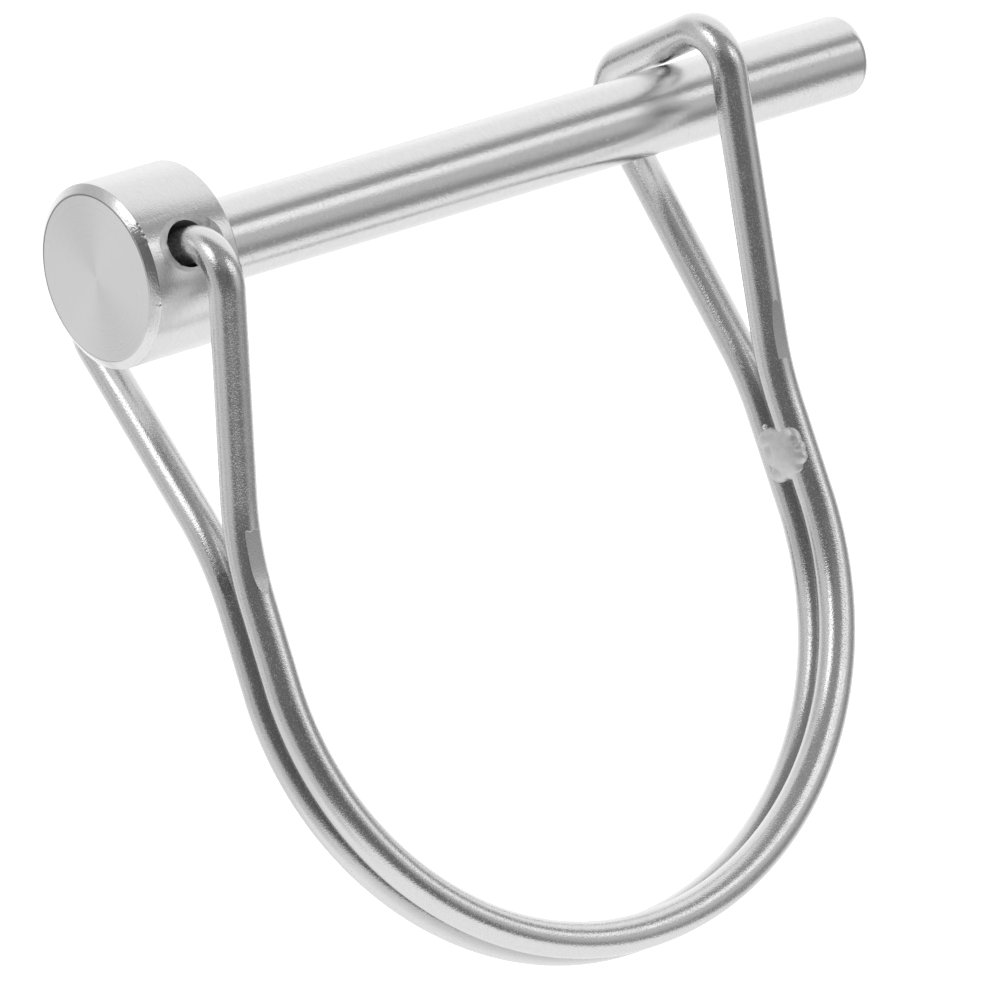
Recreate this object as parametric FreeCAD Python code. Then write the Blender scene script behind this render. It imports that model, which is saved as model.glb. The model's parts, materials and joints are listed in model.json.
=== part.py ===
import FreeCAD, Part
import math
import os

# Coupler pin: a turned pin with a cross drilled head, and a spring wire bail that swings in the
# cross hole, loops below the pin and closes over the shank near its tip.
# Millimetres. The pin lies along X with the head's underside at X = 0 and the tip towards +X.
# Z is the axis of the cross hole, and the bail's loop hangs towards -Y.

# Pin
shank_diameter = 8.0
shank_length = 81.5
tip_round = 1.0
head_diameter = 17.7
head_length = 10.2
face_chamfer_depth = 0.85
face_chamfer_length = 0.6
underside_chamfer = 0.2

# Cross hole through the head
cross_hole_diameter = 4.5
cross_hole_to_face = 5.3
countersink_diameter = 6.9
countersink_angle = 130.0

# Wire bail
wire_diameter = 3.5
strand_gap = 0.1
wire_end_gap = 2.0
wire_shift_in_hole = 0.35
wire_drop_in_hole = 0.2
head_leg_spread = 13.76
head_hook_radius = 3.8
head_join_drop = 27.95
tip_join_drop = 24.26
join_radius = 25.0
loop_depth = 72.13
loop_reach = 64.63
head_side_radius = 30.8
side_splay = 0.84
bail_lean = 2.2
bridge_spread = 10.95
bridge_radius = 4.1
bridge_clearance = 0.1

# Weld bead that ties the two strands, on the inner side of the loop below the tip legs
weld_drop = 32.2
weld_length = 5.8
weld_width = 6.2
weld_height = 2.4
weld_sink = 1.15
weld_shift = 0.3

# Worked out from the sizes above
shank_radius = shank_diameter / 2
head_radius = head_diameter / 2
wire_radius = wire_diameter / 2
strand_offset = (wire_diameter + strand_gap) / 2
cross_hole_x = cross_hole_to_face - head_length
hinge_x = cross_hole_x + wire_shift_in_hole
hinge_y = -wire_drop_in_hole
bridge_height = shank_radius + wire_radius + bridge_clearance
lean = math.radians(bail_lean)
splay = math.radians(side_splay)


def turned_profile():
    """Half section of the pin, from the axis at the head's face round to the axis at the tip."""
    face_x = -head_length
    tip_x = shank_length
    round_start = tip_x - tip_round
    arc_middle = tip_round * math.sqrt(0.5)
    corners = [
        (face_x, 0),
        (face_x, head_radius - face_chamfer_depth),
        (face_x + face_chamfer_length, head_radius),
        (-underside_chamfer, head_radius),
        (0, head_radius - underside_chamfer),
        (0, shank_radius),
        (round_start, shank_radius),
    ]
    points = [FreeCAD.Vector(x, r, 0) for x, r in corners]
    edges = [Part.LineSegment(a, b).toShape() for a, b in zip(points, points[1:])]
    round_centre_r = shank_radius - tip_round
    arc_mid = FreeCAD.Vector(round_start + arc_middle, round_centre_r + arc_middle, 0)
    arc_end = FreeCAD.Vector(tip_x, round_centre_r, 0)
    edges.append(Part.Arc(points[-1], arc_mid, arc_end).toShape())
    tip_centre = FreeCAD.Vector(tip_x, 0, 0)
    edges.append(Part.LineSegment(arc_end, tip_centre).toShape())
    edges.append(Part.LineSegment(tip_centre, points[0]).toShape())
    return Part.Wire(edges)


def countersink(side):
    """Cone that breaks the edge of the cross hole, on the side of the head given by its sign."""
    hole_radius = cross_hole_diameter / 2
    mouth_radius = countersink_diameter / 2
    slope = math.tan(math.radians(countersink_angle / 2))
    depth = (mouth_radius - hole_radius) / slope
    overrun = 1.0
    bottom = FreeCAD.Vector(cross_hole_x, 0, side * (head_radius - depth))
    outwards = FreeCAD.Vector(0, 0, side)
    top_radius = mouth_radius + overrun * slope
    return Part.makeCone(hole_radius, top_radius, depth + overrun, bottom, outwards)


def make_pin():
    """Head, shank and tip turned in one, then the cross hole and its countersinks."""
    face = Part.Face(turned_profile())
    body = face.revolve(FreeCAD.Vector(0, 0, 0), FreeCAD.Vector(1, 0, 0), 360)
    through = head_diameter + 2.0
    start = FreeCAD.Vector(cross_hole_x, 0, -through / 2)
    hole = Part.makeCylinder(cross_hole_diameter / 2, through, start, FreeCAD.Vector(0, 0, 1))
    return body.cut([hole, countersink(1), countersink(-1)])


def place(x, y, z):
    """Point of the bail, given in its own upright frame at the hinge, leaned back into place."""
    leaned_x = x * math.cos(lean) + y * math.sin(lean)
    leaned_y = y * math.cos(lean) - x * math.sin(lean)
    return FreeCAD.Vector(hinge_x + leaned_x, hinge_y + leaned_y, z)


def loop_geometry():
    """Centres and radii of the loop's two arcs, in the bail's own frame."""
    head_centre_y = head_side_radius - loop_depth
    centre_x = (head_side_radius + head_centre_y * math.sin(splay)) / math.cos(splay)
    tip_share = (loop_reach - centre_x) * math.cos(splay) + loop_depth * math.sin(splay)
    tip_radius = tip_share / (1 + math.sin(splay))
    tip_centre_y = tip_radius - loop_depth
    return centre_x, head_centre_y, tip_centre_y, tip_radius


def head_side(y, z):
    """Point on the head side of the bail at height y."""
    return place(y * math.tan(splay), y, z)


def tip_side(y, z):
    """Point on the tip side of the bail at height y."""
    return place(loop_reach - y * math.tan(splay), y, z)


def bridge_y():
    """Height in the bail's own frame at which the bridge clears the top of the shank."""
    rise = bridge_height - hinge_y + loop_reach * math.sin(lean)
    return rise / (math.cos(lean) + math.tan(splay) * math.sin(lean))


def on_arc(centre_x, centre_y, radius, angle, z):
    """Point of a loop arc at an angle from the bail's X axis."""
    return place(centre_x + radius * math.cos(angle), centre_y + radius * math.sin(angle), z)


def bend(before, corner, after, radius):
    """Arc that rounds a corner between two straight runs, with its two tangent points."""
    way_in = (before - corner).normalize()
    way_out = (after - corner).normalize()
    half_angle = way_in.getAngle(way_out) / 2
    setback = radius / math.tan(half_angle)
    start = corner + way_in * setback
    end = corner + way_out * setback
    inward = (way_in + way_out).normalize()
    middle = corner + inward * (radius / math.sin(half_angle) - radius)
    return start, Part.Arc(start, middle, end).toShape(), end


def strand_edges(side):
    """Centre line of one half of the wire, from its end in the cross hole to the middle of the
    bridge. The side is 1 for the upper strand and -1 for the lower one."""
    strand_z = side * strand_offset
    wire_end = place(0, 0, side * wire_end_gap / 2)
    hook = place(0, 0, side * head_leg_spread)
    head_join = head_side(-head_join_drop, strand_z)
    tip_join = tip_side(-tip_join_drop, strand_z)
    shoulder = tip_side(bridge_y(), side * bridge_spread)
    bridge_middle = tip_side(bridge_y(), 0)

    centre_x, head_centre_y, tip_centre_y, tip_radius = loop_geometry()
    head_angle = math.pi + splay
    low_angle = 1.5 * math.pi
    tip_angle = 2 * math.pi - splay
    arc_start = on_arc(centre_x, head_centre_y, head_side_radius, head_angle, strand_z)
    head_quarter = on_arc(centre_x, head_centre_y, head_side_radius, (head_angle + low_angle) / 2, strand_z)
    low_point = on_arc(centre_x, head_centre_y, head_side_radius, low_angle, strand_z)
    tip_quarter = on_arc(centre_x, tip_centre_y, tip_radius, (tip_angle + low_angle) / 2, strand_z)
    arc_end = on_arc(centre_x, tip_centre_y, tip_radius, tip_angle, strand_z)

    hook_start, hook_arc, hook_end = bend(wire_end, hook, head_join, head_hook_radius)
    head_start, head_arc, head_end = bend(hook, head_join, arc_start, join_radius)
    tip_start, tip_arc, tip_end = bend(arc_end, tip_join, shoulder, join_radius)
    top_start, top_arc, top_end = bend(tip_join, shoulder, bridge_middle, bridge_radius)
    return [
        Part.LineSegment(wire_end, hook_start).toShape(),
        hook_arc,
        Part.LineSegment(hook_end, head_start).toShape(),
        head_arc,
        Part.LineSegment(head_end, arc_start).toShape(),
        Part.Arc(arc_start, head_quarter, low_point).toShape(),
        Part.Arc(low_point, tip_quarter, arc_end).toShape(),
        Part.LineSegment(arc_end, tip_start).toShape(),
        tip_arc,
        Part.LineSegment(tip_end, top_start).toShape(),
        top_arc,
        Part.LineSegment(top_end, bridge_middle).toShape(),
    ]


def sweep_half(side):
    """Half of the wire, swept along its centre line from the cross hole to mid bridge."""
    path = Part.Wire(strand_edges(side))
    start = place(0, 0, side * wire_end_gap / 2)
    circle = Part.Circle(start, FreeCAD.Vector(0, 0, 1), wire_radius)
    return path.makePipeShell([Part.Wire([circle.toShape()])], True, False)


def weld_bead():
    """Low rounded bead that lies in the groove between the strands."""
    ball = Part.makeSphere(1.0)
    stretch = FreeCAD.Matrix()
    stretch.scale(weld_height / 2, weld_length / 2, weld_width / 2)
    bead = ball.transformGeometry(stretch)
    seat = tip_side(-weld_drop, weld_shift) - FreeCAD.Vector(weld_sink, 0, 0)
    bead.rotate(FreeCAD.Vector(0, 0, 0), FreeCAD.Vector(0, 0, 1), side_splay - bail_lean)
    bead.translate(seat)
    return bead


def make_bail():
    """Both halves of the wire joined at mid bridge, with the weld bead run into the strands."""
    upper = sweep_half(1)
    lower = sweep_half(-1)
    wire = upper.fuse(lower)
    return wire.fuse(weld_bead()).removeSplitter()


parts = {"pin": make_pin(), "wire_bail": make_bail()}
os.makedirs("parts", exist_ok=True)
for name, shape in parts.items():
    shape.exportStep("parts/" + name + ".step")
    print(name, "solids", len(shape.Solids), "valid", shape.isValid(), "volume", round(shape.Volume, 1))
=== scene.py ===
import json
import math

import bmesh
import bpy
import numpy as np
from mathutils import Matrix, Vector

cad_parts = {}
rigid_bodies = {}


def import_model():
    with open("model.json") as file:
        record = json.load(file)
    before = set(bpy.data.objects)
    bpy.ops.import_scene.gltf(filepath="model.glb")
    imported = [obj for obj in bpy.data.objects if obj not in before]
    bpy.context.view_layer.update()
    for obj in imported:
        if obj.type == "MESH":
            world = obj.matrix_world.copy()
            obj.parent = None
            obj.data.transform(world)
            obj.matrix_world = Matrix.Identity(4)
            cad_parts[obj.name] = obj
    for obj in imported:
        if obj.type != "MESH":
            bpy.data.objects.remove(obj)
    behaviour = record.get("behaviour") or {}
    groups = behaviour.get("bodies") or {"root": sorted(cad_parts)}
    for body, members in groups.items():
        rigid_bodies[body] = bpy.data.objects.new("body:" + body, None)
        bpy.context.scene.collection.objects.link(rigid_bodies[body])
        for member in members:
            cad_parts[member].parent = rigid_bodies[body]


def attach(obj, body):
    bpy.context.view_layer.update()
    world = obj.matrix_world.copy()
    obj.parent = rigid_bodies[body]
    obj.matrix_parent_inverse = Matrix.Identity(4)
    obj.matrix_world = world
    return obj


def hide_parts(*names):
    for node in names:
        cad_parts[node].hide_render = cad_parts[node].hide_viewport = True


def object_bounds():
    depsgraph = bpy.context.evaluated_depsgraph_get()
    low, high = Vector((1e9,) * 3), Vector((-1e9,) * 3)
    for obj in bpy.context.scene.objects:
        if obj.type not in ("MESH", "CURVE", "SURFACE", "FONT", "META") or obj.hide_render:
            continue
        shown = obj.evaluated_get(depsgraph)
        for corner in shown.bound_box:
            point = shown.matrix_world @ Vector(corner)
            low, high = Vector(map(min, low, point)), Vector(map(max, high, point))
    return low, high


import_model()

cad_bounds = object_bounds()

# Sizes are in millimetres, as in the part's source, and MM turns them into scene units.
MM = 0.001
PIN_BODY = "pin_body"
BAIL_BODY = "bail_body"

# Pin
SHANK_RADIUS = 4.0
SHANK_LENGTH = 81.5
TIP_ROUND = 1.0
TIP_ROUND_STEPS = 12
HEAD_RADIUS = 8.85
HEAD_LENGTH = 10.2
FACE_CHAMFER_DEPTH = 0.85
FACE_CHAMFER_LENGTH = 0.6
UNDERSIDE_CHAMFER = 0.2
EDGE_BREAK = 0.07
EDGE_BREAK_STEPS = 4
FACE_GROOVE_RADIUS = 7.92
FACE_GROOVE_WIDTH = 0.12
FACE_GROOVE_DEPTH = 0.035
CROSS_HOLE_X = -4.9
CROSS_HOLE_RADIUS = 2.25
COUNTERSINK_RADIUS = 3.58
COUNTERSINK_ANGLE = 130.0
COUNTERSINK_SLOPE = math.tan(math.radians(COUNTERSINK_ANGLE / 2))
COUNTERSINK_DEPTH = (COUNTERSINK_RADIUS - CROSS_HOLE_RADIUS) / COUNTERSINK_SLOPE
HOLE_OVERRUN = 1.0
PIN_SEGMENTS = 384
HOLE_SEGMENTS = 160

# Knocks on the front rim and where the bore meets the upper countersink, as degrees round the
# edge, radius of the ball that dips in, and depth. The leans tilt where the ball comes from:
# towards the face at the rim, towards the middle of the hole at its edge.
RIM_DINGS = ((70.5, 0.5, 0.09), (74, 0.9, 0.1), (78, 0.45, 0.13), (82, 1.0, 0.08),
             (121, 0.6, 0.06))
RIM_DING_LEAN = 0.8
BORE_DINGS = ((100, 0.5, 0.06), (165, 0.7, 0.08), (228, 0.45, 0.06))
BORE_DING_LEAN = 0.6

# Wire bail
WIRE_RADIUS = 1.75
STRAND_OFFSET = 1.8
WIRE_END_Z = 1.0
HINGE_X = -4.55
HINGE_Y = -0.2
LEG_SPREAD = 13.76
HOOK_RADIUS = 3.8
HEAD_JOIN_DROP = 27.95
TIP_JOIN_DROP = 24.26
JOIN_RADIUS = 25.0
LOOP_DEPTH = 72.13
LOOP_REACH = 64.63
HEAD_SIDE_RADIUS = 30.8
SIDE_SPLAY = math.radians(0.84)
BAIL_LEAN = math.radians(2.2)
BRIDGE_HEIGHT = 5.85
BRIDGE_SPREAD = 10.95
BRIDGE_RADIUS = 4.1
WIRE_SEGMENTS = 72
WIRE_STEP = 0.45
STRAIGHT_STEP = WIRE_STEP * 1.3
TIGHT_STEP = WIRE_STEP * 0.45
TIGHT_BEND = 6.0   # bends of a smaller radius take the tight step
NO_LENGTH = 1e-4   # a straight run shorter than this is left out

# Flats that the forming tool pressed into the strands, from a sharp step to where they fade out.
# Step and end are drops below the hinge, and turn is in degrees from the strand's outer side.
UPPER, LOWER = 1, -1
HEAD_FLAT = dict(step=26.1, end=32.7, depth=0.2, turn=0, near_tip=False, strands=(UPPER, LOWER))
TIP_FLAT = dict(step=26.0, end=19.6, depth=0.13, turn=0, near_tip=True, strands=(UPPER, LOWER))
SIDE_FLAT = dict(step=29.5, end=32.4, depth=0.07, turn=136, near_tip=False, strands=(LOWER,))
FLAT_REACH = 0.85       # half of the tool's width
FLAT_HEADROOM = 0.1     # from the strand's surface to the tool's back
FLAT_FADE_SHARE = 0.45  # share of the length over which a flat fades out
FLAT_LIFT_OFF = 0.01    # height of the tool over the strand at the far end

# Metal that piled up in a burr where the head side's flat starts
BURR_RADII = (0.75, 0.1, 0.09)
BURR_SINK = HEAD_FLAT["depth"] * 0.7
BURR_SWAY = 0.06       # how far its line sways
BURR_SWAY_RATE = 6.0   # radians of the sway per millimetre across the strand

# Weld bead between the strands, as lumps (centre, radii) measured from the middle of the two
WELD_DROP = 32.25
WELD_LUMPS = [
    ((-1.30, -0.2, 1.1), (1.0, 2.55, 2.1)),
    ((-1.25, 1.7, -0.5), (0.85, 1.15, 1.75)),
    ((-1.28, 0.3, -0.55), (0.85, 1.5, 1.55)),
    ((-1.30, -1.7, -0.6), (0.75, 0.95, 1.4)),
    ((-1.12, 0.95, 2.1), (0.92, 1.45, 1.45)),
    ((-1.05, 0.0, 2.4), (0.86, 0.9, 1.25)),
    ((-1.05, -0.85, 2.3), (0.84, 1.0, 1.25)),
    ((-1.15, -1.75, 1.95), (0.78, 0.95, 1.1)),
]
WELD_GRID = 0.1
WELD_RELAX_FACTOR = 0.5
WELD_RELAX_ROUNDS = 11
SPATTER_PLACE = (-1.4, 2.95, -0.5)
SPATTER_RADIUS = 0.3

# Edges over these angles stay sharp, in degrees. Fineness is how often a ball is subdivided.
PIN_SHARP = 24
WIRE_SHARP = 9
WELD_SHARP = 80
BALL_FINENESS = 4
DING_FINENESS = 3

# Finishes. A scale is in features per millimetre, a relief is the bump's height in millimetres,
# and the layers of a bump are shares of its relief. Noise values mostly lie in USUAL_SPREAD.
USUAL_SPREAD = (0.3, 0.7)
TIGHT_SPREAD = (0.35, 0.65)
# Grey of the painted shade in the groove round the face and between the strands
PAINTED_SHADE_TONE = 0.2

# Turned steel: fine rings, streaks round the axis, grain and nicks
RING_SCALE = 8.0
RING_SHARE = 0.08
STREAK_SCALE = (8.0, 1.3, 1.3)
STREAK_SHARE = 0.9
GRAIN_SCALE = 5.5
GRAIN_SHARE = 1.0
NICK_SCALE = 2.6
NICK_SPREAD = (0.79, 0.84)
NICK_SHARE = -0.9
TURNED_RELIEF = 0.013
FACE_RELIEF_LOSS = -0.75
SHANK_ROUGHNESS = 0.19
HEAD_ROUGHER = 0.05
CHAMFER_ROUGHER = -0.12
WALL_TONES = (0.83, 0.88)
FACE_TONES = (0.885, 0.925)
LATHE_ANISOTROPY = 0.8
QUARTER_TURN = 0.25
FACE_SKIN = 0.02  # depth that still counts as the face
SKIN_BLUR = 0.01
CHAMFER_BLUR = 0.02
HEAD_BLUR = 0.05

# Painted shade in the groove round the face: its reach from the groove's middle, the depth that it
# stays within, and the heights between which its share grows from faint to heavy, so it is darker
# towards +Y
GROOVE_SHADE_REACH = (FACE_GROOVE_WIDTH, FACE_GROOVE_WIDTH * 0.4)
GROOVE_SHADE_SKIN = 0.09
GROOVE_SHADE_Y = (-2.0, 5.0, 0.08, 0.75)

# Drilled steel: chatter marks of the drill and the countersink
CHATTER_SCALE = (1.6, 1.6, 4.0)
CHATTER_ROUGHNESS = (0.32, 0.5)
DRILLED_RELIEF = 0.04
DRILLED_TONES = (0.86, 0.95)
DRILLED_METALLIC = 0.9

# Wire and its flats: darkest and lightest tone, least and most roughness. Then pits, scratches
# along the wire, and painted shade in the groove between the strands, below where they join.
DRAWN_FINISH = (0.78, 0.87, 0.16, 0.22)
PRESSED_FINISH = (0.52, 0.6, 0.2, 0.26)
PIT_SCALE = 7.0
PIT_ROUGHER = (0.52, 0.68, 0.0, 0.2)
SCRATCH_SCALE = (4.0, 4.0, 0.5)
SCRATCH_SHARE = 0.2
PATCH_SCALE = 0.5
WIRE_RELIEF = 0.015
STRAND_SHADE = 0.42
STRAND_SHADE_Z = (1.4, 0.2)
STRAND_SHADE_Y = (-24.0, -30.0)

# Weld and spatter, in the same order as the wire's finishes
WELD_FINISH = (0.7, 0.8, 0.36, 0.5)
SPATTER_FINISH = (0.86, 0.95, 0.12, 0.18)
WELD_SKIN_SCALE = 1.6
WELD_RELIEF = 0.02
WELD_METALLIC = 0.75

# Camera, worked out from the photograph's outlines
CAMERA_AT = Vector((-653.4, -70.66, 928.05))
CAMERA_RIGHT = Vector((0.7692, -0.3291, 0.5477))
CAMERA_UP = Vector((0.2463, 0.9437, 0.2210))
CAMERA_LENS = 445.7
SENSOR = 36.0
CLIP_START = 0.05  # metres
CLIP_END = 20.0

# Floor, whose lift has the camera see it as white
FLOOR_HALF = 1.6  # metres
FLOOR_TONE = 0.9
FLOOR_LIFT = 0.62

# Lamps for the floor: azimuth and elevation in degrees, distance and size in metres, watts
LAMPS = {
    "key": (28, 66, 1.2, 0.7, 7.0),
    "fill": (230, 50, 1.4, 1.0, 5.0),
}

# The studio that the steel reflects, as soft round patches laid over one another:
# azimuth from +X towards +Y, elevation, inner and outer radius in degrees, and level
CEILING = 0.29
GROUND = 0.75
HORIZON = (0.1, -0.25)  # the ceiling turns into the ground between these heights of a direction
SKY_LEVEL = 0.45        # even light for all that isn't a reflection
STUDIO = [
    (215, 68, 8, 34, 0.1),      # dark end of the ceiling
    (262, 57, 10, 28, 0.15),    # dark corner above the right-hand wall
    (182, 33, 16, 42, 0.135),   # camera and the dark wall behind it
    (172, -22, 8, 22, 0.48),    # ground in front of the camera
    (128, -34, 8, 26, 0.5),     # dim ground at the left
    (153, -55, 3, 13, 0.25),    # edge of the table
    (262, -12, 53, 60, 0.9),    # right-hand white wall
    (202, -8, 6, 26, 0.6),      # its shaded end
    (48, -10, 34, 50, 0.9),     # far white wall
    (20, -50, 26, 50, 1.04),    # lit ground beyond the tip
    (345, 50, 4, 28, 0.55),     # faint spill beside the key box
    (13, 55, 5, 14, 1.12),      # bright spill below it
    (49, 68, 8, 13, 1.25),      # key box overhead
    (137, 11, 12, 20, 1.6),     # second box
]


def new_object(name, mesh, body, material=None):
    """Links a mesh as a piece that rides on a body and takes its finish from a slot."""
    obj = bpy.data.objects.new(name, mesh)
    bpy.context.scene.collection.objects.link(obj)
    if material:
        mesh.materials.append(material)
    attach(obj, body)
    return obj


def finished(bm, name):
    """The bmesh as a mesh."""
    mesh = bpy.data.meshes.new(name)
    bm.to_mesh(mesh)
    bm.free()
    return mesh


def as_modified(obj, name):
    """The object's mesh with its modifiers applied, in place of the object."""
    bpy.context.view_layer.update()
    evaluated = obj.evaluated_get(bpy.context.evaluated_depsgraph_get())
    mesh = bpy.data.meshes.new_from_object(evaluated)
    mesh.name = name
    bpy.data.objects.remove(obj)
    return mesh


def smooth(mesh, sharp_angle):
    """Smooth shading, with edges over the angle kept sharp."""
    mesh.shade_smooth()
    mesh.set_sharp_from_angle(angle=math.radians(sharp_angle))


def grey(level):
    return (level, level, level, 1.0)


class Nodes:
    """A small helper that adds shader nodes and links their inputs."""

    def __init__(self, tree):
        self.tree = tree
        self.tree.nodes.clear()

    def add(self, kind, settings=None, **inputs):
        node = self.tree.nodes.new(kind)
        for key, value in (settings or {}).items():
            setattr(node, key, value)
        for key, value in inputs.items():
            self.put(node, key.replace("_", " "), value)
        return node

    def put(self, node, key, value):
        """Links a socket to an input, found by name or number, or sets the input's value."""
        if isinstance(value, bpy.types.NodeSocket):
            self.tree.links.new(value, node.inputs[key])
        else:
            node.inputs[key].default_value = value

    def math(self, operation, *values):
        node = self.add("ShaderNodeMath", {"operation": operation})
        for index, value in enumerate(values):
            self.put(node, index, value)
        return node.outputs[0]

    def vector(self, operation, *values):
        node = self.add("ShaderNodeVectorMath", {"operation": operation})
        for index, value in enumerate(values):
            self.put(node, index, value)
        return node.outputs[1] if operation in ("DOT_PRODUCT", "LENGTH") else node.outputs[0]

    def scaled(self, vector, factors):
        return self.vector("MULTIPLY", vector, factors)

    def plus(self, base, *layers):
        """A base and other values, each times its weight."""
        for value, weight in layers:
            base = self.math("MULTIPLY_ADD", value, weight, base)
        return base

    def without(self, mask):
        return self.math("SUBTRACT", 1.0, mask)

    def ramp(self, value, low, high, to_low=0.0, to_high=1.0):
        node = self.add("ShaderNodeMapRange", {"interpolation_type": "SMOOTHSTEP"})
        for key, number in (("Value", value), ("From Min", low), ("From Max", high),
                            ("To Min", to_low), ("To Max", to_high)):
            self.put(node, key, number)
        return node.outputs[0]

    def below(self, value, limit, blur):
        """A mask that is 1 under a limit and 0 over it."""
        return self.ramp(value, limit + blur, limit - blur)

    def noise(self, vector, scale=1.0, detail=2.0, roughness=0.5, dimensions="3D"):
        node = self.add("ShaderNodeTexNoise", {"noise_dimensions": dimensions})
        self.put(node, "W" if dimensions == "1D" else "Vector", vector)
        self.put(node, "Scale", scale)
        self.put(node, "Detail", detail)
        self.put(node, "Roughness", roughness)
        return node.outputs[0]

    def mix(self, factor, a, b):
        """A blend of two colours, which are inputs 6 and 7 of the node."""
        node = self.add("ShaderNodeMix", {"data_type": "RGBA"})
        self.put(node, "Factor", factor)
        self.put(node, 6, a)
        self.put(node, 7, b)
        return node.outputs[2]

    def tones(self, value, dark, light, spread=USUAL_SPREAD):
        """Greys between two tones, led by a noise."""
        return self.mix(self.ramp(value, *spread), grey(dark), grey(light))

    def millimetres(self):
        """Place on the object, in millimetres."""
        place = self.add("ShaderNodeTexCoord").outputs["Object"]
        return self.scaled(place, (1 / MM, 1 / MM, 1 / MM))

    def metal(self, tone, rough, height, relief, metallic=1.0, **more):
        """Ends a material as metal with a bump."""
        bump = self.add("ShaderNodeBump", Strength=1.0, Distance=relief * MM, Height=height)
        shader = self.add("ShaderNodeBsdfPrincipled", Base_Color=tone, Metallic=metallic,
                          Roughness=rough, Normal=bump.outputs[0], **more)
        self.add("ShaderNodeOutputMaterial", Surface=shader.outputs[0])


def material(name):
    mat = bpy.data.materials.new(name)
    mat.use_nodes = True
    return mat, Nodes(mat.node_tree)


def turned_steel():
    """Lathe-turned steel: rings and streaks round the axis, grain, nicks and painted shade in the
    groove round the face.
    """
    mat, n = material("turned_steel_look")
    at = n.millimetres()
    split = n.add("ShaderNodeSeparateXYZ", Vector=at).outputs
    radial = n.vector("LENGTH", n.scaled(at, (0, 1, 1)))
    is_face = n.below(split["X"], FACE_SKIN - HEAD_LENGTH, SKIN_BLUR)
    is_head = n.below(split["X"], 0.0, HEAD_BLUR)
    in_front = n.below(split["X"], FACE_CHAMFER_LENGTH - HEAD_LENGTH, CHAMFER_BLUR)
    is_chamfer = n.math("MULTIPLY", in_front, n.without(is_face))

    # Rings follow one another along the axis, and outwards on the face.
    ring_place = n.plus(0.0, (split["X"], n.without(is_face)), (radial, is_face))
    fine_rings = n.noise(ring_place, RING_SCALE, roughness=0.6, dimensions="1D")
    streaks = n.noise(n.scaled(at, STREAK_SCALE), roughness=0.65)
    grain = n.noise(at, GRAIN_SCALE, detail=1.0, roughness=0.6)
    nicks = n.ramp(n.noise(at, NICK_SCALE, detail=0.0), *NICK_SPREAD)
    height = n.plus(0.0, (fine_rings, RING_SHARE), (streaks, STREAK_SHARE), (grain, GRAIN_SHARE))
    kept_relief = n.plus(1.0, (is_face, FACE_RELIEF_LOSS))
    height = n.plus(0.0, (height, kept_relief), (nicks, NICK_SHARE))

    rough = n.plus(SHANK_ROUGHNESS, (is_head, HEAD_ROUGHER), (is_chamfer, CHAMFER_ROUGHER))
    tone = n.mix(is_face, n.tones(streaks, *WALL_TONES), n.tones(fine_rings, *FACE_TONES))
    # Painted shade: the groove round the face is darkened, more towards +Y
    from_groove = n.math("ABSOLUTE", n.math("SUBTRACT", radial, FACE_GROOVE_RADIUS))
    shaded_groove = n.math("MULTIPLY", n.ramp(from_groove, *GROOVE_SHADE_REACH),
                       n.below(split["X"], GROOVE_SHADE_SKIN - HEAD_LENGTH, SKIN_BLUR))
    painted_shade = n.math("MULTIPLY", shaded_groove, n.ramp(split["Y"], *GROOVE_SHADE_Y))
    tone = n.mix(painted_shade, tone, grey(PAINTED_SHADE_TONE))
    turning = n.add("ShaderNodeTangent", {"direction_type": "RADIAL", "axis": "X"})
    n.metal(tone, rough, height, TURNED_RELIEF, Anisotropic=LATHE_ANISOTROPY,
            Anisotropic_Rotation=QUARTER_TURN, Tangent=turning.outputs[0])
    return mat


def drilled_steel():
    """The rougher, brighter surface that the drill and the countersink left."""
    mat, n = material("drilled_steel_look")
    chatter = n.noise(n.scaled(n.millimetres(), CHATTER_SCALE), roughness=0.6)
    rough = n.ramp(chatter, *TIGHT_SPREAD, *CHATTER_ROUGHNESS)
    tone = n.tones(chatter, *DRILLED_TONES, TIGHT_SPREAD)
    n.metal(tone, rough, chatter, DRILLED_RELIEF, DRILLED_METALLIC)
    return mat


def wire_steel(name, dark, light, smoothest, roughest):
    """Drawn spring wire: fine pits, faint scratches along it, and painted shade between the
    strands.
    """
    mat, n = material(name)
    at = n.millimetres()
    along = n.add("ShaderNodeAttribute", {"attribute_name": "drawn"}).outputs["Vector"]
    pits = n.noise(at, PIT_SCALE, detail=1.0, roughness=0.6)
    scratches = n.noise(n.scaled(along, SCRATCH_SCALE), roughness=0.6)
    patches = n.noise(at, PATCH_SCALE)
    height = n.plus(pits, (scratches, SCRATCH_SHARE))
    rough = n.math("ADD", n.ramp(patches, *USUAL_SPREAD, smoothest, roughest),
                   n.ramp(pits, *PIT_ROUGHER))
    split = n.add("ShaderNodeSeparateXYZ", Vector=at).outputs
    # Painted shade in the groove between the strands, near their middle plane and lower down the
    # loop
    shaded_groove = n.math("MULTIPLY", n.ramp(n.math("ABSOLUTE", split["Z"]), *STRAND_SHADE_Z),
                       n.ramp(split["Y"], *STRAND_SHADE_Y))
    painted_shade = n.math("MULTIPLY", shaded_groove, STRAND_SHADE)
    tone = n.mix(painted_shade, n.tones(pits, dark, light), grey(PAINTED_SHADE_TONE))
    n.metal(tone, rough, height, WIRE_RELIEF)
    return mat


def weld_steel(name, dark, light, smoothest, roughest):
    """Cast skin of the weld bead and its spatter."""
    mat, n = material(name)
    skin = n.noise(n.millimetres(), WELD_SKIN_SCALE, detail=3.0, roughness=0.55)
    rough = n.ramp(skin, *TIGHT_SPREAD, smoothest, roughest)
    n.metal(n.tones(skin, dark, light), rough, skin, WELD_RELIEF, WELD_METALLIC)
    return mat


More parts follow.
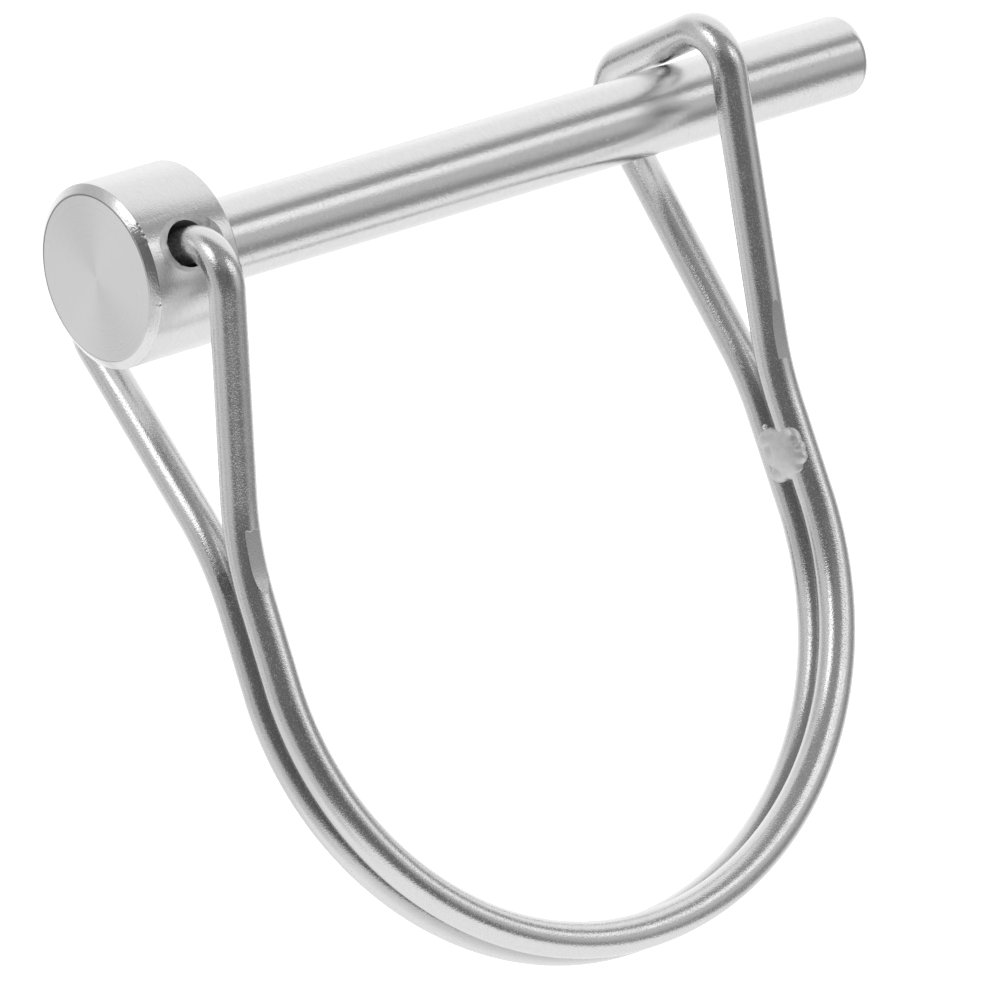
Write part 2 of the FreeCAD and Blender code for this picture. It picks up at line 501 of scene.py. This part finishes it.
def bend(before, corner, after, radius):
    """Start, centre and end of the arc that rounds a corner."""
    way_in = (before - corner).normalized()
    way_out = (after - corner).normalized()
    half = way_in.angle(way_out) / 2
    setback = radius / math.tan(half)
    centre = corner + (way_in + way_out).normalized() * (radius / math.sin(half))
    return corner + way_in * setback, centre, corner + way_out * setback


def rounded_corner(before, corner, after, radius, steps):
    """Points of a small arc that rounds a corner of a profile."""
    start, centre, end = bend(before, corner, after, radius)
    points = []
    for step in range(steps + 1):
        towards = (start - centre).lerp(end - centre, step / steps).normalized()
        points.append(centre + towards * radius)
    return points


def pin_profile():
    """Profile of the pin from the middle of its face to the middle of its tip, as (x, radius)."""
    face_x = -HEAD_LENGTH
    corners = [  # x, radius and rounding
        (face_x, 0, 0),
        (face_x, FACE_GROOVE_RADIUS - FACE_GROOVE_WIDTH / 2, 0),
        (face_x + FACE_GROOVE_DEPTH, FACE_GROOVE_RADIUS, 0),
        (face_x, FACE_GROOVE_RADIUS + FACE_GROOVE_WIDTH / 2, 0),
        (face_x, HEAD_RADIUS - FACE_CHAMFER_DEPTH, EDGE_BREAK / 2),
        (face_x + FACE_CHAMFER_LENGTH, HEAD_RADIUS, EDGE_BREAK),
        (-UNDERSIDE_CHAMFER, HEAD_RADIUS, EDGE_BREAK),
        (0, HEAD_RADIUS - UNDERSIDE_CHAMFER, EDGE_BREAK),
        (0, SHANK_RADIUS, 0),
        (SHANK_LENGTH, SHANK_RADIUS, TIP_ROUND),
        (SHANK_LENGTH, 0, 0),
    ]
    places = [Vector((x, radius)) for x, radius, _ in corners]
    points = []
    for index, (_, _, rounding) in enumerate(corners):
        if rounding:
            steps = TIP_ROUND_STEPS if rounding == TIP_ROUND else EDGE_BREAK_STEPS
            points += rounded_corner(*places[index - 1:index + 2], rounding, steps)
        else:
            points.append(places[index])
    return points


def revolve(name, profile, segments):
    """Turns a profile of (x, radius) points about the X axis into a closed mesh."""
    bm = bmesh.new()
    rings = []
    for x, radius in profile:
        if radius == 0:
            rings.append([bm.verts.new((x * MM, 0, 0))])
            continue
        ring = []
        for step in range(segments):
            angle = 2 * math.pi * step / segments
            ring.append(bm.verts.new((x * MM, radius * math.cos(angle) * MM,
                                      radius * math.sin(angle) * MM)))
        rings.append(ring)
    for first, second in zip(rings, rings[1:]):
        for step in range(segments):
            after = (step + 1) % segments
            if len(first) == 1:
                bm.faces.new((first[0], second[after], second[step]))
            elif len(second) == 1:
                bm.faces.new((first[step], first[after], second[0]))
            else:
                bm.faces.new((first[step], first[after], second[after], second[step]))
    bmesh.ops.recalc_face_normals(bm, faces=bm.faces)
    return finished(bm, name)


def hole_cutter():
    """The cross hole with a countersink at both ends, as a mesh along Z."""
    top_radius = COUNTERSINK_RADIUS + HOLE_OVERRUN * COUNTERSINK_SLOPE
    profile = [
        (-HEAD_RADIUS - HOLE_OVERRUN, 0),
        (-HEAD_RADIUS - HOLE_OVERRUN, top_radius),
        (-HEAD_RADIUS + COUNTERSINK_DEPTH, CROSS_HOLE_RADIUS),
        (HEAD_RADIUS - COUNTERSINK_DEPTH, CROSS_HOLE_RADIUS),
        (HEAD_RADIUS + HOLE_OVERRUN, top_radius),
        (HEAD_RADIUS + HOLE_OVERRUN, 0),
    ]
    mesh = revolve("hole_cutter", profile, HOLE_SEGMENTS)
    turn = Matrix.Rotation(math.radians(-90), 4, "Y")
    mesh.transform(Matrix.Translation((CROSS_HOLE_X * MM, 0, 0)) @ turn)
    return mesh


def ding_cutter(at, outward, size, depth, mat):
    """A ball that only just dips into the surface at a point."""
    bm = bmesh.new()
    bmesh.ops.create_icosphere(bm, subdivisions=DING_FINENESS, radius=size * MM)
    centre = at + outward.normalized() * (size - depth)
    bmesh.ops.translate(bm, verts=bm.verts, vec=centre * MM)
    mesh = finished(bm, "ding")
    mesh.materials.append(mat)
    return mesh


def cut_away(name, mesh, cutters):
    """The mesh less the cutters, as one clean boolean. Cut surfaces take the cutters' materials."""
    scene = bpy.context.scene.collection
    blank = bpy.data.objects.new(name, mesh)
    tools = bpy.data.collections.new(name + "_tools")
    scene.children.link(tools)
    scene.objects.link(blank)
    for cutter in cutters:
        tools.objects.link(bpy.data.objects.new(name + "_tool", cutter))
    cut = blank.modifiers.new("cut", "BOOLEAN")
    cut.operation = "DIFFERENCE"
    cut.solver = "EXACT"
    cut.operand_type = "COLLECTION"
    cut.material_mode = "TRANSFER"
    cut.collection = tools
    result = as_modified(blank, name)
    for tool in list(tools.objects):
        bpy.data.objects.remove(tool)
    bpy.data.collections.remove(tools)
    return result


def make_pin(turned, drilled):
    """The turned pin with its cross hole through the head, and the knocks that its edges took."""
    blank = revolve("pin_look", pin_profile(), PIN_SEGMENTS)
    blank.materials.append(turned)
    hole = hole_cutter()
    hole.materials.append(drilled)
    mesh = cut_away("pin_look", blank, [hole])
    knocks = []
    for degrees, size, depth in RIM_DINGS:
        turn = math.radians(degrees)
        outward = Vector((0, math.cos(turn), math.sin(turn)))
        at = Vector((FACE_CHAMFER_LENGTH - HEAD_LENGTH, 0, 0)) + outward * HEAD_RADIUS
        lean = Vector((RIM_DING_LEAN, 0, 0))
        knocks.append(ding_cutter(at, outward - lean, size, depth, turned))
    for degrees, size, depth in BORE_DINGS:
        turn = math.radians(degrees)
        outward = Vector((math.cos(turn), math.sin(turn), 0))
        middle = Vector((CROSS_HOLE_X, 0, HEAD_RADIUS - COUNTERSINK_DEPTH))
        at = middle + outward * CROSS_HOLE_RADIUS
        lean = outward * BORE_DING_LEAN
        knocks.append(ding_cutter(at, Vector((0, 0, 1)) - lean, size, depth, drilled))
    mesh = cut_away("pin_look", mesh, knocks)
    smooth(mesh, PIN_SHARP)
    pin = new_object("turned_pin", mesh, PIN_BODY)
    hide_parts("pin")


def place(x, y, z):
    """Point of the bail, given in its own upright frame at the hinge, leaned back into place."""
    leaned_x = x * math.cos(BAIL_LEAN) + y * math.sin(BAIL_LEAN)
    leaned_y = y * math.cos(BAIL_LEAN) - x * math.sin(BAIL_LEAN)
    return Vector((HINGE_X + leaned_x, HINGE_Y + leaned_y, z))


def head_side(y, z):
    return place(y * math.tan(SIDE_SPLAY), y, z)


def tip_side(y, z):
    return place(LOOP_REACH - y * math.tan(SIDE_SPLAY), y, z)


def bridge_y():
    rise = BRIDGE_HEIGHT - HINGE_Y + LOOP_REACH * math.sin(BAIL_LEAN)
    return rise / (math.cos(BAIL_LEAN) + math.tan(SIDE_SPLAY) * math.sin(BAIL_LEAN))


def arc_points(start, centre, end, step):
    """Points of the shorter arc from start to end about a centre, ends included."""
    first = start - centre
    last = end - centre
    angle = first.angle(last)
    count = max(3, math.ceil(angle * first.length / step))
    axis = first.cross(last).normalized()
    return [centre + Matrix.Rotation(angle * i / count, 3, axis) @ first for i in range(count + 1)]


def straight_points(start, end):
    """Points after start along a straight run, end included, or none if the run has no length."""
    length = (end - start).length
    if length < NO_LENGTH:
        return []
    count = max(1, math.ceil(length / STRAIGHT_STEP))
    return [start.lerp(end, (i + 1) / count) for i in range(count)]


def half_wire():
    """Centre line of the upper half of the wire, from its end in the hole to mid bridge."""
    z = STRAND_OFFSET
    head_centre_y = HEAD_SIDE_RADIUS - LOOP_DEPTH
    centre_x = (HEAD_SIDE_RADIUS + head_centre_y * math.sin(SIDE_SPLAY)) / math.cos(SIDE_SPLAY)
    tip_share = (LOOP_REACH - centre_x) * math.cos(SIDE_SPLAY) + LOOP_DEPTH * math.sin(SIDE_SPLAY)
    tip_radius = tip_share / (1 + math.sin(SIDE_SPLAY))
    head_centre = place(centre_x, head_centre_y, z)
    tip_centre = place(centre_x, tip_radius - LOOP_DEPTH, z)
    low = place(centre_x, -LOOP_DEPTH, z)
    head_angle = math.pi + SIDE_SPLAY
    arc_start = place(centre_x + HEAD_SIDE_RADIUS * math.cos(head_angle),
                      head_centre_y + HEAD_SIDE_RADIUS * math.sin(head_angle), z)
    arc_end = place(centre_x + tip_radius * math.cos(-SIDE_SPLAY),
                    tip_radius - LOOP_DEPTH + tip_radius * math.sin(-SIDE_SPLAY), z)

    wire_end = place(0, 0, WIRE_END_Z)
    hook = place(0, 0, LEG_SPREAD)
    head_join = head_side(-HEAD_JOIN_DROP, z)
    tip_join = tip_side(-TIP_JOIN_DROP, z)
    shoulder = tip_side(bridge_y(), BRIDGE_SPREAD)
    bridge_middle = tip_side(bridge_y(), 0)
    arcs = [
        bend(wire_end, hook, head_join, HOOK_RADIUS),
        bend(hook, head_join, arc_start, JOIN_RADIUS),
        (arc_start, head_centre, low),
        (low, tip_centre, arc_end),
        bend(arc_end, tip_join, shoulder, JOIN_RADIUS),
        bend(tip_join, shoulder, bridge_middle, BRIDGE_RADIUS),
    ]
    points = [wire_end]
    for start, centre, end in arcs:
        tight = (start - centre).length < TIGHT_BEND
        points += straight_points(points[-1], start)
        points += arc_points(start, centre, end, TIGHT_STEP if tight else WIRE_STEP)[1:]
    points += straight_points(points[-1], bridge_middle)
    return points


def wire_line():
    """Centre line of the whole wire, from the upper end in the hole round to the lower one."""
    upper = half_wire()
    lower = [Vector((p.x, p.y, -p.z)) for p in reversed(upper[:-1])]
    return upper + lower


def sweep_tube(name, line, radius):
    """A tube along a line, closed at its ends, whose drawn attribute follows it lengthwise."""
    bm = bmesh.new()
    count = len(line)
    tangents = []
    for i in range(count):
        ahead = line[min(i + 1, count - 1)] - line[max(i - 1, 0)]
        tangents.append(ahead.normalized())
    side = Vector((1, 0, 0))
    side = (side - tangents[0] * side.dot(tangents[0])).normalized()
    rings, drawn, travelled = [], [], 0.0
    for i, (point, tangent) in enumerate(zip(line, tangents)):
        if i:
            turn = tangents[i - 1].rotation_difference(tangent)
            side = turn @ side
            side = (side - tangent * side.dot(tangent)).normalized()
            travelled += (point - line[i - 1]).length
        other = tangent.cross(side)
        ring = []
        for step in range(WIRE_SEGMENTS):
            angle = 2 * math.pi * step / WIRE_SEGMENTS
            out = side * math.cos(angle) + other * math.sin(angle)
            ring.append(bm.verts.new((point + out * radius) * MM))
            drawn.append((math.cos(angle) * radius, math.sin(angle) * radius, travelled))
        rings.append(ring)
    for first, second in zip(rings, rings[1:]):
        for step in range(WIRE_SEGMENTS):
            after = (step + 1) % WIRE_SEGMENTS
            bm.faces.new((first[step], first[after], second[after], second[step]))
    bm.faces.new(list(reversed(rings[0])))
    bm.faces.new(rings[-1])
    mesh = finished(bm, name)
    attribute = mesh.attributes.new("drawn", "FLOAT_VECTOR", "POINT")
    attribute.data.foreach_set("vector", np.array(drawn, np.float32).ravel())
    return mesh


def flat_stations(flat):
    """Centre points of the upper strand along a flat, from its step to where it fades out."""
    middle_x = HINGE_X + LOOP_REACH / 2
    low, high = sorted((flat["step"], flat["end"]))
    points = [p for p in half_wire()
              if (p.x > middle_x) == flat["near_tip"] and low <= HINGE_Y - p.y <= high]
    return sorted(points, key=lambda p: p.y, reverse=flat["end"] > flat["step"])


def flat_cutter(flat, strand):
    """A bar that follows a strand along its surface and presses in a flat that fades out."""
    turn = math.radians(flat["turn"])
    stations = flat_stations(flat)
    top = WIRE_RADIUS + FLAT_HEADROOM
    bm = bmesh.new()
    sections = []
    for i, point in enumerate(stations):
        along = stations[min(i + 1, len(stations) - 1)] - stations[max(i - 1, 0)]
        across = along.cross(Vector((0, 0, 1))).normalized()
        up = across.cross(along).normalized()
        up, across = (up * math.cos(turn) + across * math.sin(turn),
                      across * math.cos(turn) - up * math.sin(turn))
        share = i / (len(stations) - 1)
        fade = min(1.0, (1 - share) / FLAT_FADE_SHARE)
        depth = flat["depth"] * (1 - (1 - fade) ** 2)
        level = WIRE_RADIUS - depth + FLAT_LIFT_OFF * (1 - fade)
        corners = [point + up * high + across * wide
                   for high, wide in ((level, FLAT_REACH), (level, -FLAT_REACH),
                                      (top, -FLAT_REACH), (top, FLAT_REACH))]
        sections.append([bm.verts.new(Vector((c.x, c.y, c.z * strand)) * MM) for c in corners])
    for first, second in zip(sections, sections[1:]):
        for step in range(4):
            after = (step + 1) % 4
            bm.faces.new((first[step], first[after], second[after], second[step]))
    bm.faces.new(sections[0])
    bm.faces.new(reversed(sections[-1]))
    bmesh.ops.recalc_face_normals(bm, faces=bm.faces)
    return finished(bm, "flat")


def make_wire(drawn, pressed):
    """The bail's wire, one piece from end to end, with the forming tool's flats."""
    blank = sweep_tube("wire_look", wire_line(), WIRE_RADIUS)
    blank.materials.append(drawn)
    cutters = []
    for flat in (HEAD_FLAT, TIP_FLAT, SIDE_FLAT):
        cutters += [flat_cutter(flat, strand) for strand in flat["strands"]]
    for cutter in cutters:
        cutter.materials.append(pressed)
    mesh = cut_away("wire_look", blank, cutters)
    smooth(mesh, WIRE_SHARP)
    wire = new_object("bail_wire", mesh, BAIL_BODY)
    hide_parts("wire_bail")


def make_weld(mat):
    """The weld bead: lumps that flowed together over the groove between the strands."""
    bm = bmesh.new()
    middle = tip_side(-WELD_DROP, 0)
    for centre, radii in WELD_LUMPS:
        made = bmesh.ops.create_icosphere(bm, subdivisions=BALL_FINENESS, radius=1.0)
        for vert in made["verts"]:
            swollen = Vector([a * b for a, b in zip(vert.co, radii)])
            vert.co = (middle + Vector(centre) + swollen) * MM
    blank = bpy.data.objects.new("weld_lumps", finished(bm, "weld_lumps"))
    bpy.context.scene.collection.objects.link(blank)
    join = blank.modifiers.new("join", "REMESH")
    join.mode = "VOXEL"
    join.voxel_size = WELD_GRID * MM
    relax = blank.modifiers.new("relax", "SMOOTH")
    relax.factor = WELD_RELAX_FACTOR
    relax.iterations = WELD_RELAX_ROUNDS
    mesh = as_modified(blank, "weld_look")
    smooth(mesh, WELD_SHARP)
    new_object("weld_bead", mesh, BAIL_BODY, mat)


def make_spatter(mat):
    """A small drop of spatter in the groove above the bead."""
    bm = bmesh.new()
    bmesh.ops.create_icosphere(bm, subdivisions=BALL_FINENESS, radius=SPATTER_RADIUS * MM)
    centre = (tip_side(-WELD_DROP, 0) + Vector(SPATTER_PLACE)) * MM
    bmesh.ops.translate(bm, verts=bm.verts, vec=centre)
    mesh = finished(bm, "spatter_look")
    mesh.shade_smooth()
    new_object("weld_spatter", mesh, BAIL_BODY, mat)


def make_burr(mat):
    """The low ridge of metal across the strand where the head side's flat starts."""
    stations = flat_stations(HEAD_FLAT)
    along = (stations[1] - stations[0]).normalized()
    across = along.cross(Vector((0, 0, 1))).normalized()
    up = across.cross(along)
    top = stations[0] + up * (WIRE_RADIUS - BURR_SINK)
    bm = bmesh.new()
    bmesh.ops.create_icosphere(bm, subdivisions=BALL_FINENESS, radius=1.0)
    for vert in bm.verts:
        wide, long, high = (a * b for a, b in zip(vert.co, BURR_RADII))
        sway = BURR_SWAY * math.sin(wide * BURR_SWAY_RATE)
        vert.co = (top + across * wide + along * (long + sway) + up * high) * MM
    mesh = finished(bm, "burr_look")
    mesh.shade_smooth()
    new_object("press_burr", mesh, BAIL_BODY, mat)


def make_floor():
    """A plain white floor that shows white and keeps a soft shadow."""
    z = cad_bounds[0][2]
    corners = [(x * FLOOR_HALF, y * FLOOR_HALF, z) for x, y in ((-1, -1), (1, -1), (1, 1), (-1, 1))]
    mesh = bpy.data.meshes.new("floor")
    mesh.from_pydata(corners, [], [(0, 1, 2, 3)])
    floor = bpy.data.objects.new("floor", mesh)
    bpy.context.scene.collection.objects.link(floor)
    mat, n = material("floor_white")
    camera_ray = n.add("ShaderNodeLightPath").outputs["Is Camera Ray"]
    diffuse = n.add("ShaderNodeBsdfDiffuse", Color=grey(FLOOR_TONE))
    lift = n.add("ShaderNodeEmission", Color=grey(1.0),
                 Strength=n.math("MULTIPLY", camera_ray, FLOOR_LIFT))
    lit = n.add("ShaderNodeAddShader")
    n.put(lit, 0, diffuse.outputs[0])
    n.put(lit, 1, lift.outputs[0])
    n.add("ShaderNodeOutputMaterial", Surface=lit.outputs[0])
    mesh.materials.append(mat)
    floor.visible_glossy = False


def direction(azimuth, elevation):
    az, el = math.radians(azimuth), math.radians(elevation)
    return (math.cos(az) * math.cos(el), math.sin(az) * math.cos(el), math.sin(el))


def make_world():
    """A grey room with white walls and soft boxes for reflections, and even light for the floor."""
    world = bpy.data.worlds.new("studio")
    bpy.context.scene.world = world
    world.use_nodes = True
    n = Nodes(world.node_tree)
    towards = n.add("ShaderNodeTexCoord").outputs["Generated"]

    def over(level, mask, value):
        return n.plus(0.0, (level, n.without(mask)), (mask, value))

    height = n.add("ShaderNodeSeparateXYZ", Vector=towards).outputs["Z"]
    level = n.ramp(height, *HORIZON, CEILING, GROUND)
    for azimuth, elevation, inner, outer, value in STUDIO:
        nearness = n.vector("DOT_PRODUCT", towards, direction(azimuth, elevation))
        edge, core = math.cos(math.radians(outer)), math.cos(math.radians(inner))
        level = over(level, n.ramp(nearness, edge, core), value)
    paths = n.add("ShaderNodeLightPath").outputs
    level = over(level, n.without(paths["Is Glossy Ray"]), SKY_LEVEL)
    seen = n.math("MAXIMUM", paths["Is Camera Ray"], paths["Is Transmission Ray"])
    level = over(level, seen, 1.0)
    background = n.add("ShaderNodeBackground", Color=grey(1.0), Strength=level)
    n.add("ShaderNodeOutputWorld", Surface=background.outputs[0])


def soft_box(name, azimuth, elevation, distance, size, power):
    """A square lamp that faces the object. Reflections see the studio's own boxes instead."""
    lamp = bpy.data.lights.new(name, "AREA")
    lamp.size = size
    lamp.energy = power
    obj = bpy.data.objects.new(name, lamp)
    bpy.context.scene.collection.objects.link(obj)
    towards = Vector(direction(azimuth, elevation))
    obj.location = towards * distance
    obj.rotation_euler = towards.to_track_quat("Z", "Y").to_euler()
    obj.visible_glossy = False
    obj.visible_camera = False


def make_camera():
    camera = bpy.data.cameras.new("camera")
    camera.sensor_width = SENSOR
    camera.lens = CAMERA_LENS
    camera.clip_start = CLIP_START
    camera.clip_end = CLIP_END
    obj = bpy.data.objects.new("camera", camera)
    bpy.context.scene.collection.objects.link(obj)
    back = CAMERA_RIGHT.cross(CAMERA_UP).normalized()
    up = back.cross(CAMERA_RIGHT).normalized()
    right = up.cross(back)
    turn = Matrix((right, up, back)).transposed().to_4x4()
    obj.matrix_world = Matrix.Translation(CAMERA_AT * MM) @ turn
    bpy.context.scene.camera = obj


bpy.context.scene.view_settings.view_transform = "Standard"
make_camera()
make_world()
make_floor()
for lamp_name, lamp_values in LAMPS.items():
    soft_box(lamp_name, *lamp_values)
drawn_steel = wire_steel("wire_steel_look", *DRAWN_FINISH)
pressed_steel = wire_steel("pressed_flat_look", *PRESSED_FINISH)
make_pin(turned_steel(), drilled_steel())
make_wire(drawn_steel, pressed_steel)
make_weld(weld_steel("weld_look", *WELD_FINISH))
make_spatter(weld_steel("spatter_look", *SPATTER_FINISH))
make_burr(drawn_steel)
